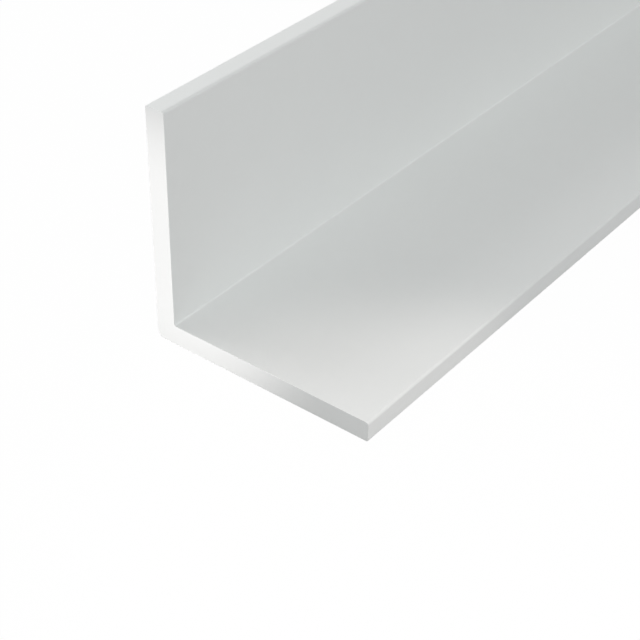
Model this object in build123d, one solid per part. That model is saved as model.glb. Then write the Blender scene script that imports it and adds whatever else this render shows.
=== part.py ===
# Outside corner profile: one equal-leg angle of extruded rigid PVC, sawn square
# at both ends. One leg lies flat on the floor and the other stands up from it.
# The origin is the middle of the footprint, at floor level. X runs along the
# stock, the flat leg points to -Y and the upright leg rises along +Z.
from build123d import *
import os

# Stock as sold, in millimetres
LENGTH = 1000.0
FLAT_LEG = 35.0
UPRIGHT_LEG = 35.0
WALL = 3.0

# Edges as they leave the die
HEEL_RADIUS = 1.2
ROOT_RADIUS = 0.3
TIP_INNER_RADIUS = 0.4
TIP_OUTER_RADIUS = 0.25


def section_corners():
    """The six corners of the section with their radii, in (y, z) from the heel."""
    # Both roundings of a tip fit across its wall.
    tip_inner = min(TIP_INNER_RADIUS, 0.6 * WALL)
    tip_outer = min(TIP_OUTER_RADIUS, 0.3 * WALL)
    return [
        ((0, 0), HEEL_RADIUS),
        ((0, UPRIGHT_LEG), tip_outer),
        ((-WALL, UPRIGHT_LEG), tip_inner),
        ((-WALL, WALL), ROOT_RADIUS),
        ((-FLAT_LEG, WALL), tip_inner),
        ((-FLAT_LEG, 0), tip_outer),
    ]


def make_section():
    """The closed L of the die, drawn across the stock at its near end."""
    corners = section_corners()
    heel_y = FLAT_LEG / 2
    across = Plane(origin=(-LENGTH / 2, heel_y, 0), x_dir=(0, 1, 0), z_dir=(1, 0, 0))
    outline = FilletPolyline(
        *[point for point, _ in corners],
        radius=[radius for _, radius in corners],
        close=True,
    )
    return across * make_face(outline)


def make_profile():
    """The section drawn out along the whole length."""
    return extrude(make_section(), amount=LENGTH, dir=(1, 0, 0))


os.makedirs("parts", exist_ok=True)
profile = make_profile()
export_step(profile, "parts/corner_profile.step")
print("corner_profile", round(profile.volume, 1), "mm3", profile.bounding_box())
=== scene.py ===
"""White PVC corner profile on a pale studio floor, seen past its sawn near end."""

import math

import bmesh
import bpy
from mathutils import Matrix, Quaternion, Vector


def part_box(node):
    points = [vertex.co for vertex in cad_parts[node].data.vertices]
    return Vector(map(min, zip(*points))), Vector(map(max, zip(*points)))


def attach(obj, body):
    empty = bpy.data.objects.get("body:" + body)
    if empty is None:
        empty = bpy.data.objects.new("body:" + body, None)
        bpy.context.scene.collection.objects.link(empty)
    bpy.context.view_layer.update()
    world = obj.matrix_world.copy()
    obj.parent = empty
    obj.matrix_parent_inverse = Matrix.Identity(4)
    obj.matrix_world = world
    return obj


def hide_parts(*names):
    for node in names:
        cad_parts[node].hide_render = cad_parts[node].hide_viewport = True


bl_info = {
    "name": "PVC Corner Profile",
    "version": (1, 0, 0),
    "blender": (4, 5, 0),
    "location": "3D View > Sidebar > Corner Profile",
    "description": "Models a sawn length of white PVC angle and the studio it lies in",
    "category": "Add Mesh",
}

NODE = "corner_profile"
BODY = "root"

PVC_IOR = 1.53
# The blade's middle, behind the upright leg and above it
SAW_MIDDLE = (0.0, 0.09, 0.12)

# Places less than this apart, in metres, count as one.
SAME_PLACE = 1e-5
# Corners less than this apart, in metres, are merged.
DOUBLES = 1e-6
# The least part of its normal along Z or X with which a face looks up or out of an end
LOOKS_UP = 0.9
LOOKS_OUT = 0.3
# Edges that turn by less than this are dissolved.
FLAT_ANGLE = math.radians(1)
# Edges that turn by less than this are shaded smooth.
SMOOTH_ANGLE = math.radians(40)

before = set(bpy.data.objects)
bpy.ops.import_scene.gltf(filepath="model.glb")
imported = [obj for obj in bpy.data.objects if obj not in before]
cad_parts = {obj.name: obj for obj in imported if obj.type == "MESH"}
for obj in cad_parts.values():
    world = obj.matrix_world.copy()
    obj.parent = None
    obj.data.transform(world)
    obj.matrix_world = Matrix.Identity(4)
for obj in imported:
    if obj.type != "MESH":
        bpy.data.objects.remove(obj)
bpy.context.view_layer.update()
LOW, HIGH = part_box(NODE)


# Settings that a user would change

class ProfileSizes(bpy.types.PropertyGroup):
    """Sizes of the section and its edges."""

    wall: bpy.props.FloatProperty(
        name="Wall", description="Thickness of both legs",
        default=0.003, min=0.0005, precision=5, subtype="DISTANCE", unit="LENGTH")
    heel_radius: bpy.props.FloatProperty(
        name="Heel radius", description="Rounding of the outer corner",
        default=0.0012, min=0.0, precision=5, subtype="DISTANCE", unit="LENGTH")
    root_radius: bpy.props.FloatProperty(
        name="Root radius", description="Fillet in the inner corner",
        default=0.0003, min=0.0, precision=5, subtype="DISTANCE", unit="LENGTH")
    tip_inner_radius: bpy.props.FloatProperty(
        name="Inner tip radius", description="Rounding of each leg's tip on its inner face",
        default=0.0004, min=0.0, precision=5, subtype="DISTANCE", unit="LENGTH")
    tip_outer_radius: bpy.props.FloatProperty(
        name="Outer tip radius", description="Rounding of each leg's tip on its outer face",
        default=0.00025, min=0.0, precision=5, subtype="DISTANCE", unit="LENGTH")
    sawn_rim: bpy.props.FloatProperty(
        name="Sawn rim", description="Width of the softened rim round each sawn end",
        default=0.00008, min=0.0, precision=5, subtype="DISTANCE", unit="LENGTH")


class ProfileFinish(bpy.types.PropertyGroup):
    """Colour, gloss and fine relief of the PVC."""

    colour: bpy.props.FloatVectorProperty(
        name="Colour", description="Colour of the PVC", subtype="COLOR",
        size=3, default=(0.853, 0.873, 0.865), min=0.0, max=1.0)
    clouding: bpy.props.FloatProperty(
        name="Clouding", description="Depth of the faint clouds in the colour",
        default=0.02, min=0.0, max=0.2, subtype="FACTOR")
    roughness: bpy.props.FloatProperty(
        name="Roughness", description="Roughness of the extruded faces",
        default=0.36, min=0.0, max=1.0, subtype="FACTOR")
    sawn_roughness: bpy.props.FloatProperty(
        name="Sawn roughness", description="Roughness of the sawn ends",
        default=0.58, min=0.0, max=1.0, subtype="FACTOR")
    die_lines: bpy.props.FloatProperty(
        name="Die lines", description="Depth of the faint lines that the die draws along the stock",
        default=0.00003, min=0.0, precision=6, subtype="DISTANCE", unit="LENGTH")
    saw_marks: bpy.props.FloatProperty(
        name="Saw marks", description="Depth of the arcs that the saw blade leaves on the ends",
        default=0.00003, min=0.0, precision=6, subtype="DISTANCE", unit="LENGTH")


class StudioSettings(bpy.types.PropertyGroup):
    """Light, floor and camera."""

    sky: bpy.props.FloatProperty(
        name="Sky", description="Strength of the even light from all round",
        default=0.45, min=0.0)
    lamps: bpy.props.FloatProperty(
        name="Lamps", description="Strength of all lamps together, as a share of their own power",
        default=1.0, min=0.0)
    floor_colour: bpy.props.FloatVectorProperty(
        name="Floor colour", description="Colour of the light that the floor throws back",
        subtype="COLOR", size=3, default=(0.4, 0.4, 0.4), min=0.0, max=1.0)
    shadow_share: bpy.props.FloatProperty(
        name="Shadow share", description="How much of the floor's shading the camera sees",
        default=0.025, min=0.0, max=1.0, subtype="FACTOR")
    lens: bpy.props.FloatProperty(
        name="Lens", description="Focal length of the camera",
        default=89.79, min=1.0, unit="CAMERA")
    roll: bpy.props.FloatProperty(
        name="Roll", description="Turn of the camera about its line of sight",
        default=math.radians(0.883), subtype="ANGLE", unit="ROTATION")


# Selecting in edit mode, as a user would by hand

def edit_mesh(piece):
    """Opens the piece in edit mode with nothing selected."""
    bpy.ops.object.select_all(action="DESELECT")
    bpy.context.view_layer.objects.active = piece
    piece.select_set(True)
    bpy.ops.object.mode_set(mode="EDIT")
    bpy.ops.mesh.select_all(action="DESELECT")


def select_edges(piece, wanted):
    """Selects the edges for which wanted(start, end) is true."""
    bpy.ops.mesh.select_all(action="DESELECT")
    bpy.ops.mesh.select_mode(type="EDGE")
    mesh = bmesh.from_edit_mesh(piece.data)
    for edge in mesh.edges:
        edge.select_set(wanted(edge.verts[0].co, edge.verts[1].co))
    bmesh.update_edit_mesh(piece.data)


def select_faces(piece, wanted):
    """Selects the faces for which wanted(centre, normal) is true."""
    bpy.ops.mesh.select_all(action="DESELECT")
    bpy.ops.mesh.select_mode(type="FACE")
    mesh = bmesh.from_edit_mesh(piece.data)
    for face in mesh.faces:
        face.select_set(wanted(face.calc_center_median(), face.normal))
    bmesh.update_edit_mesh(piece.data)


def near(a, b):
    """True where two places on an axis are the same."""
    return abs(a - b) < SAME_PLACE


# The profile

def add_angle(sizes):
    """An L of the stock's size: the flat leg as a block, the upright leg extruded from it."""
    length, width = HIGH.x - LOW.x, HIGH.y - LOW.y
    bpy.ops.object.select_all(action="DESELECT")
    bpy.ops.mesh.primitive_cube_add(
        size=1,
        location=((LOW.x + HIGH.x) / 2, (LOW.y + HIGH.y) / 2, LOW.z + sizes.wall / 2),
        scale=(length, width, sizes.wall),
    )
    piece = bpy.context.active_object
    piece.name = "corner_profile_extrusion"
    bpy.ops.object.transform_apply(location=True, rotation=True, scale=True)
    edit_mesh(piece)
    bpy.ops.mesh.select_all(action="SELECT")
    bpy.ops.mesh.bisect(plane_co=(0, HIGH.y - sizes.wall, 0), plane_no=(0, 1, 0))
    select_faces(piece, lambda centre, normal: (
        normal.z > LOOKS_UP and centre.y > HIGH.y - sizes.wall))
    rise = HIGH.z - LOW.z - sizes.wall
    bpy.ops.mesh.extrude_region_move(TRANSFORM_OT_translate={"value": (0, 0, rise)})
    return piece


def round_long_edge(piece, y, z, radius, steps):
    """Rounds the edge that runs along the stock at y, z."""
    def along(a, b):
        return near(a.y, y) and near(b.y, y) and near(a.z, z) and near(b.z, z)

    select_edges(piece, along)
    bpy.ops.mesh.bevel(offset=radius, segments=steps, profile=0.5, affect="EDGES")


def round_section(piece, sizes):
    """The roundings that the die leaves: heel, root and both edges of each tip."""
    inner_y, inner_z = HIGH.y - sizes.wall, LOW.z + sizes.wall
    round_long_edge(piece, HIGH.y, LOW.z, sizes.heel_radius, steps=10)
    round_long_edge(piece, inner_y, inner_z, sizes.root_radius, steps=6)
    for y, z in ((LOW.y, inner_z), (inner_y, HIGH.z)):
        round_long_edge(piece, y, z, sizes.tip_inner_radius, steps=8)
    for y, z in ((LOW.y, LOW.z), (HIGH.y, HIGH.z)):
        round_long_edge(piece, y, z, sizes.tip_outer_radius, steps=3)


def soften_sawn_rims(piece, sizes):
    """Breaks the sharp rim round each sawn end."""
    def on_rim(a, b):
        return any(near(a.x, end) and near(b.x, end) for end in (LOW.x, HIGH.x))

    bpy.ops.mesh.select_all(action="SELECT")
    bpy.ops.mesh.dissolve_limited(angle_limit=FLAT_ANGLE)
    select_edges(piece, on_rim)
    bpy.ops.mesh.bevel(offset=sizes.sawn_rim, segments=2, profile=0.5, affect="EDGES")


def give_finishes(piece, finish):
    """The extruded finish all over, and the sawn one on both ends."""
    clouds = build_clouds_group()
    piece.data.materials.append(extruded_pvc(finish, clouds, build_lines_group()))
    piece.data.materials.append(sawn_pvc(finish, clouds, build_saw_group()))
    select_faces(piece, lambda centre, normal: abs(normal.x) > LOOKS_OUT)
    piece.active_material_index = 1
    bpy.ops.object.material_slot_assign()


def close_and_smooth(piece):
    """Merges doubles, turns the faces outwards, and shades the roundings smooth into flat faces."""
    bpy.ops.mesh.select_all(action="SELECT")
    bpy.ops.mesh.remove_doubles(threshold=DOUBLES)
    bpy.ops.mesh.normals_make_consistent(inside=False)
    bpy.ops.object.mode_set(mode="OBJECT")
    bpy.ops.object.shade_smooth_by_angle(angle=SMOOTH_ANGLE)
    bpy.ops.object.modifier_add(type="WEIGHTED_NORMAL")
    weighted = piece.modifiers[-1]
    weighted.weight = 100
    weighted.keep_sharp = True
    bpy.ops.object.modifier_apply(modifier=weighted.name)


class MESH_OT_corner_profile(bpy.types.Operator):
    """Models the sawn length of PVC angle in place of its plain solid"""

    bl_idname = "mesh.corner_profile"
    bl_label = "Corner Profile"

    def execute(self, context):
        sizes, finish = context.scene.profile_sizes, context.scene.profile_finish
        piece = add_angle(sizes)
        round_section(piece, sizes)
        soften_sawn_rims(piece, sizes)
        give_finishes(piece, finish)
        close_and_smooth(piece)
        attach(piece, BODY)
        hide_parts(NODE)
        return {"FINISHED"}


# Finishes

SOCKETS = {"value": "NodeSocketFloat", "vector": "NodeSocketVector", "colour": "NodeSocketColor"}
# Draws the lines' noise out 250 times along the stock
LINE_STRETCH = (0.004, 1, 1)


def new_group(name, inputs, outputs):
    """A shader node group with its named sockets, and its nodes, links and ends."""
    group = bpy.data.node_groups.new(name, "ShaderNodeTree")
    for sockets, side in ((inputs, "INPUT"), (outputs, "OUTPUT")):
        for socket, kind in sockets.items():
            group.interface.new_socket(name=socket, in_out=side, socket_type=SOCKETS[kind])
    nodes, links = group.nodes, group.links
    given, put = nodes.new("NodeGroupInput").outputs, nodes.new("NodeGroupOutput").inputs
    return group, nodes, links, given, put


def feed(links, source, socket):
    """Sets the socket to a number, or links it to another node's output."""
    if isinstance(source, float):
        socket.default_value = source
    else:
        links.new(source, socket)


def noise(nodes, links, vector, scale, detail):
    """The value of a noise at the place, from 0 to 1 about 0.5."""
    texture = nodes.new("ShaderNodeTexNoise")
    texture.inputs["Detail"].default_value = detail
    links.new(vector, texture.inputs["Vector"])
    links.new(scale, texture.inputs["Scale"])
    return texture.outputs["Fac"]


def mix_values(nodes, links, first, second, share):
    """Two values mixed, the second by its share."""
    mix = nodes.new("ShaderNodeMix")
    feed(links, share, mix.inputs["Factor"])
    links.new(first, mix.inputs["A"])
    links.new(second, mix.inputs["B"])
    return mix.outputs["Result"]


def mix_shaders(nodes, links, first, second, share):
    """Two shaders mixed, the second by its share."""
    mix = nodes.new("ShaderNodeMixShader")
    feed(links, share, mix.inputs["Fac"])
    links.new(first, mix.inputs[1])
    links.new(second, mix.inputs[2])
    return mix.outputs["Shader"]


def about_middle(nodes, links, value, amount, middle):
    """The middle value, raised or lowered by the noise times the amount."""
    spread = nodes.new("ShaderNodeMapRange")
    spread.clamp = False
    spread.inputs["From Min"].default_value = 0.5
    spread.inputs["From Max"].default_value = 1.0
    highest = nodes.new("ShaderNodeMath")
    highest.operation = "ADD"
    feed(links, middle, highest.inputs[0])
    feed(links, amount, highest.inputs[1])
    feed(links, middle, spread.inputs["To Min"])
    links.new(highest.outputs[0], spread.inputs["To Max"])
    links.new(value, spread.inputs["Value"])
    return spread.outputs["Result"]


def build_clouds_group():
    """Faint clouds in the colour and the gloss, as in any melt that cools unevenly."""
    group, nodes, links, given, put = new_group(
        "pvc_clouds",
        {"Vector": "vector", "Wide": "value", "Fine": "value", "Colour": "colour",
         "Depth": "value", "Roughness": "value", "Gloss Change": "value"},
        {"Colour": "colour", "Roughness": "value"})
    wide = noise(nodes, links, given["Vector"], given["Wide"], detail=3.0)
    fine = noise(nodes, links, given["Vector"], given["Fine"], detail=4.0)
    both = mix_values(nodes, links, wide, fine, share=0.35)
    brightness = about_middle(nodes, links, both, given["Depth"], 1.0)
    tinted = nodes.new("ShaderNodeVectorMath")
    tinted.operation = "SCALE"
    links.new(given["Colour"], tinted.inputs[0])
    links.new(brightness, tinted.inputs["Scale"])
    links.new(tinted.outputs["Vector"], put["Colour"])
    gloss = about_middle(nodes, links, wide, given["Gloss Change"], given["Roughness"])
    links.new(gloss, put["Roughness"])
    return group


def build_lines_group():
    """Fine lines drawn along X, broad and narrow ones together."""
    group, nodes, links, given, put = new_group(
        "pvc_drawn_lines",
        {"Vector": "vector", "Broad": "value", "Narrow": "value"},
        {"Height": "value"})
    along = nodes.new("ShaderNodeMapping")
    along.inputs["Scale"].default_value = LINE_STRETCH
    links.new(given["Vector"], along.inputs["Vector"])
    broad = noise(nodes, links, along.outputs["Vector"], given["Broad"], detail=1.0)
    narrow = noise(nodes, links, along.outputs["Vector"], given["Narrow"], detail=2.0)
    links.new(mix_values(nodes, links, broad, narrow, share=0.4), put["Height"])
    return group


def build_saw_group():
    """Arcs about the blade's middle, as its teeth leave them, with a fine grain."""
    group, nodes, links, given, put = new_group(
        "saw_arcs",
        {"Vector": "vector", "Spacing": "value", "Grain": "value"},
        {"Height": "value"})
    from_middle = nodes.new("ShaderNodeVectorMath")
    from_middle.operation = "SUBTRACT"
    from_middle.inputs[1].default_value = SAW_MIDDLE
    links.new(given["Vector"], from_middle.inputs[0])
    across = nodes.new("ShaderNodeSeparateXYZ")
    links.new(from_middle.outputs["Vector"], across.inputs["Vector"])
    flat = nodes.new("ShaderNodeCombineXYZ")
    links.new(across.outputs["Y"], flat.inputs["Y"])
    links.new(across.outputs["Z"], flat.inputs["Z"])
    radius = nodes.new("ShaderNodeVectorMath")
    radius.operation = "LENGTH"
    links.new(flat.outputs["Vector"], radius.inputs[0])
    ring = nodes.new("ShaderNodeCombineXYZ")
    links.new(radius.outputs["Value"], ring.inputs["X"])
    arcs = noise(nodes, links, ring.outputs["Vector"], given["Spacing"], detail=2.0)
    grain = noise(nodes, links, given["Vector"], given["Grain"], detail=3.0)
    links.new(mix_values(nodes, links, arcs, grain, share=0.3), put["Height"])
    return group


def new_material(name):
    """A material with an empty node tree, its output and a Principled BSDF."""
    material = bpy.data.materials.new(name)
    material.use_nodes = True
    nodes, links = material.node_tree.nodes, material.node_tree.links
    nodes.clear()
    output = nodes.new("ShaderNodeOutputMaterial")
    shader = nodes.new("ShaderNodeBsdfPrincipled")
    links.new(shader.outputs["BSDF"], output.inputs["Surface"])
    return material, shader


def place_group(material, group, values):
    """The group in the material, set to the values and fed with object coordinates."""
    nodes, links = material.node_tree.nodes, material.node_tree.links
    node = nodes.new("ShaderNodeGroup")
    node.node_tree = group
    for name, value in values.items():
        node.inputs[name].default_value = value
    place = nodes.new("ShaderNodeTexCoord")
    links.new(place.outputs["Object"], node.inputs["Vector"])
    return node


def raise_relief(material, shader, relief, depth):
    """Turns the group's height into a bump of the depth on the shader."""
    nodes, links = material.node_tree.nodes, material.node_tree.links
    bump = nodes.new("ShaderNodeBump")
    bump.inputs["Strength"].default_value = 1.0
    bump.inputs["Distance"].default_value = depth
    links.new(relief.outputs["Height"], bump.inputs["Height"])
    links.new(bump.outputs["Normal"], shader.inputs["Normal"])


def pvc(name, finish, clouds, roughness, gloss_change):
    """The PVC's colour and gloss with their clouds."""
    material, shader = new_material(name)
    cloudy = place_group(material, clouds, {
        "Wide": 38.0, "Fine": 900.0, "Colour": (*finish.colour, 1), "Depth": finish.clouding,
        "Roughness": roughness, "Gloss Change": gloss_change})
    links = material.node_tree.links
    links.new(cloudy.outputs["Colour"], shader.inputs["Base Color"])
    links.new(cloudy.outputs["Roughness"], shader.inputs["Roughness"])
    shader.inputs["IOR"].default_value = PVC_IOR
    return material, shader


def extruded_pvc(finish, clouds, lines):
    """Satin white PVC as it leaves the die, with its faint drawn lines."""
    material, shader = pvc("pvc_extruded", finish, clouds, finish.roughness, gloss_change=0.05)
    relief = place_group(material, lines, {"Broad": 420.0, "Narrow": 2600.0})
    raise_relief(material, shader, relief, finish.die_lines)
    return material


def sawn_pvc(finish, clouds, arcs):
    """The same PVC where the saw went through it, duller and faintly scored."""
    material, shader = pvc("pvc_sawn", finish, clouds, finish.sawn_roughness, gloss_change=0.08)
    relief = place_group(material, arcs, {"Spacing": 1600.0, "Grain": 5000.0})
    raise_relief(material, shader, relief, finish.saw_marks)
    return material


# The studio

# Places are measured from the near end's foot: along the stock, across it and up.
NEAR_END = Vector((LOW.x, (LOW.y + HIGH.y) / 2, LOW.z))
EYE = NEAR_END + Vector((-0.12295, -0.10375, 0.12912))
AIM = NEAR_END + Vector((0.01316, 0.00028, 0.003))
FLOOR_SIZE = 40.0
SOFTBOX_TARGET = Vector((0.03, 0, 0.015))
END_POOL = Vector((0, 0.0155, 0.0145))
TIP_POOL = Vector((-0.01, -0.0415, 0.003))
SPOT_SIZE = 0.004
COOL_POOL = (1.0, 0.955, 0.955)
WARM_POOL = (1.0, 0.915, 0.885)


def add_floor(studio):
    """A pale floor that keeps a light shadow."""
    bpy.ops.object.select_all(action="DESELECT")
    bpy.ops.mesh.primitive_plane_add(size=FLOOR_SIZE, location=(0, 0, LOW.z))
    floor = bpy.context.active_object
    floor.name = "studio_floor"
    bpy.ops.object.transform_apply(location=True, rotation=True, scale=True)
    floor.data.materials.append(floor_finish(studio))


def floor_finish(studio):
    """Grey to the light it throws back, and white with a faint shadow where it is seen."""
    material, shader = new_material("studio_floor")
    nodes, links = material.node_tree.nodes, material.node_tree.links
    output = next(node for node in nodes if node.type == "OUTPUT_MATERIAL")
    shader.inputs["Base Color"].default_value = (*studio.floor_colour, 1)
    shader.inputs["Roughness"].default_value = 1.0
    shader.inputs["Specular IOR Level"].default_value = 0.0
    shaded, plain = nodes.new("ShaderNodeBsdfDiffuse"), nodes.new("ShaderNodeEmission")
    for white in (shaded, plain):
        white.inputs["Color"].default_value = (1, 1, 1, 1)
    look = mix_shaders(nodes, links, shaded.outputs["BSDF"], plain.outputs["Emission"],
                       share=1 - studio.shadow_share)
    floor = mix_shaders(nodes, links, shader.outputs["BSDF"], look, share=seen_ray(nodes, links))
    links.new(floor, output.inputs["Surface"])
    return material


def seen_ray(nodes, links):
    """1 for a ray from the camera, a mirror or a glass, and 0 for any other."""
    path = nodes.new("ShaderNodeLightPath")
    total = path.outputs["Is Camera Ray"]
    for name in ("Is Glossy Ray", "Is Transmission Ray"):
        either = nodes.new("ShaderNodeMath")
        either.operation = "MAXIMUM"
        links.new(total, either.inputs[0])
        links.new(path.outputs[name], either.inputs[1])
        total = either.outputs[0]
    return total


def aim_lamp(studio, name, kind, watts, target, azimuth, elevation, distance):
    """A lamp that looks at the target from that way off, and isn't seen by the camera.

    Azimuth 0 is along +X and 90 along +Y, in degrees, and elevation is above the floor."""
    turn, lift = math.radians(azimuth), math.radians(elevation)
    level = math.cos(lift)
    away = Vector((math.cos(turn) * level, math.sin(turn) * level, math.sin(lift)))
    bpy.ops.object.light_add(type=kind, location=target + away * distance)
    lamp = bpy.context.active_object
    lamp.name = name
    lamp.rotation_mode = "QUATERNION"
    lamp.rotation_quaternion = away.to_track_quat("Z", "Y")
    lamp.visible_camera = False
    lamp.data.energy = watts * studio.lamps
    return lamp.data


def add_softbox(studio, name, watts, azimuth, elevation, distance, size):
    """A round softbox that lights the near end and the floor round it."""
    target = NEAR_END + SOFTBOX_TARGET
    light = aim_lamp(studio, name, "AREA", watts, target, azimuth, elevation, distance)
    light.shape = "DISK"
    light.size = size


def add_pool(studio, name, watts, place, colour, azimuth, elevation, distance, radius, blend):
    """A small spot that throws a soft round pool of light of that radius on the place."""
    light = aim_lamp(studio, name, "SPOT", watts, NEAR_END + place, azimuth, elevation, distance)
    light.color = colour
    light.spot_size = 2 * math.atan(radius / distance)
    light.spot_blend = blend
    light.shadow_soft_size = SPOT_SIZE


def add_lamps(studio):
    """Softboxes, a pool on the sawn near end and one round the flat leg's near corner."""
    add_softbox(studio, "front_softbox", watts=8.5,
                azimuth=252, elevation=17, distance=3.0, size=1.5)
    add_softbox(studio, "near_softbox", watts=0.5,
                azimuth=215, elevation=30, distance=0.5, size=0.25)
    add_softbox(studio, "back_softbox", watts=40.0,
                azimuth=80, elevation=31, distance=3.0, size=3.1)
    add_softbox(studio, "edge_softbox", watts=0.35,
                azimuth=322, elevation=36, distance=1.0, size=0.25)
    add_pool(studio, "end_pool", watts=2.55, place=END_POOL, colour=COOL_POOL,
             azimuth=180, elevation=-1.6, distance=0.35, radius=0.028, blend=0.9)
    add_pool(studio, "tip_pool", watts=1.32, place=TIP_POOL, colour=WARM_POOL,
             azimuth=285, elevation=66, distance=0.4, radius=0.053, blend=0.59)


def light_world(studio):
    """An even sky that is seen as white."""
    world = bpy.data.worlds.new("studio_sky")
    bpy.context.scene.world = world
    world.use_nodes = True
    nodes, links = world.node_tree.nodes, world.node_tree.links
    nodes.clear()
    output = nodes.new("ShaderNodeOutputWorld")
    even, white = nodes.new("ShaderNodeBackground"), nodes.new("ShaderNodeBackground")
    for light in (even, white):
        light.inputs["Color"].default_value = (1, 1, 1, 1)
    even.inputs["Strength"].default_value = studio.sky
    sky = mix_shaders(nodes, links, even.outputs["Background"], white.outputs["Background"],
                      share=seen_ray(nodes, links))
    links.new(sky, output.inputs["Surface"])


def add_camera(studio):
    """The photograph's view of the near end."""
    bpy.ops.object.camera_add(location=EYE)
    camera = bpy.context.active_object
    camera.name = "studio_camera"
    camera.data.sensor_width = 36.0
    camera.data.lens = studio.lens
    camera.data.clip_start = 0.01
    camera.rotation_mode = "QUATERNION"
    turn = Quaternion((0, 0, 1), studio.roll)
    camera.rotation_quaternion = (AIM - EYE).to_track_quat("-Z", "Y") @ turn
    bpy.context.scene.camera = camera


class SCENE_OT_profile_studio(bpy.types.Operator):
    """Sets the floor, the light and the camera round the profile"""

    bl_idname = "scene.profile_studio"
    bl_label = "Profile Studio"

    def execute(self, context):
        studio = context.scene.profile_studio
        add_floor(studio)
        light_world(studio)
        add_lamps(studio)
        add_camera(studio)
        context.scene.view_settings.view_transform = "Standard"
        return {"FINISHED"}


class VIEW3D_PT_corner_profile(bpy.types.Panel):
    """Lists the profile's sizes, finish and studio with the operators that use them."""

    bl_label = "Corner Profile"
    bl_idname = "VIEW3D_PT_corner_profile"
    bl_space_type = "VIEW_3D"
    bl_region_type = "UI"
    bl_category = "Corner Profile"

    def draw(self, context):
        scene = context.scene
        for settings in (scene.profile_sizes, scene.profile_finish, scene.profile_studio):
            box = self.layout.box()
            for name in settings.__annotations__:
                box.prop(settings, name)
        for operator in OPERATORS:
            self.layout.operator(operator.bl_idname)


SETTINGS = {
    "profile_sizes": ProfileSizes,
    "profile_finish": ProfileFinish,
    "profile_studio": StudioSettings,
}
OPERATORS = (MESH_OT_corner_profile, SCENE_OT_profile_studio)
CLASSES = (*SETTINGS.values(), *OPERATORS, VIEW3D_PT_corner_profile)


def register():
    for kind in CLASSES:
        bpy.utils.register_class(kind)
    for name, kind in SETTINGS.items():
        setattr(bpy.types.Scene, name, bpy.props.PointerProperty(type=kind))


def unregister():
    for name in SETTINGS:
        delattr(bpy.types.Scene, name)
    for kind in reversed(CLASSES):
        bpy.utils.unregister_class(kind)


def main():
    register()
    bpy.ops.mesh.corner_profile()
    bpy.ops.scene.profile_studio()


if __name__ == "__main__":
    main()
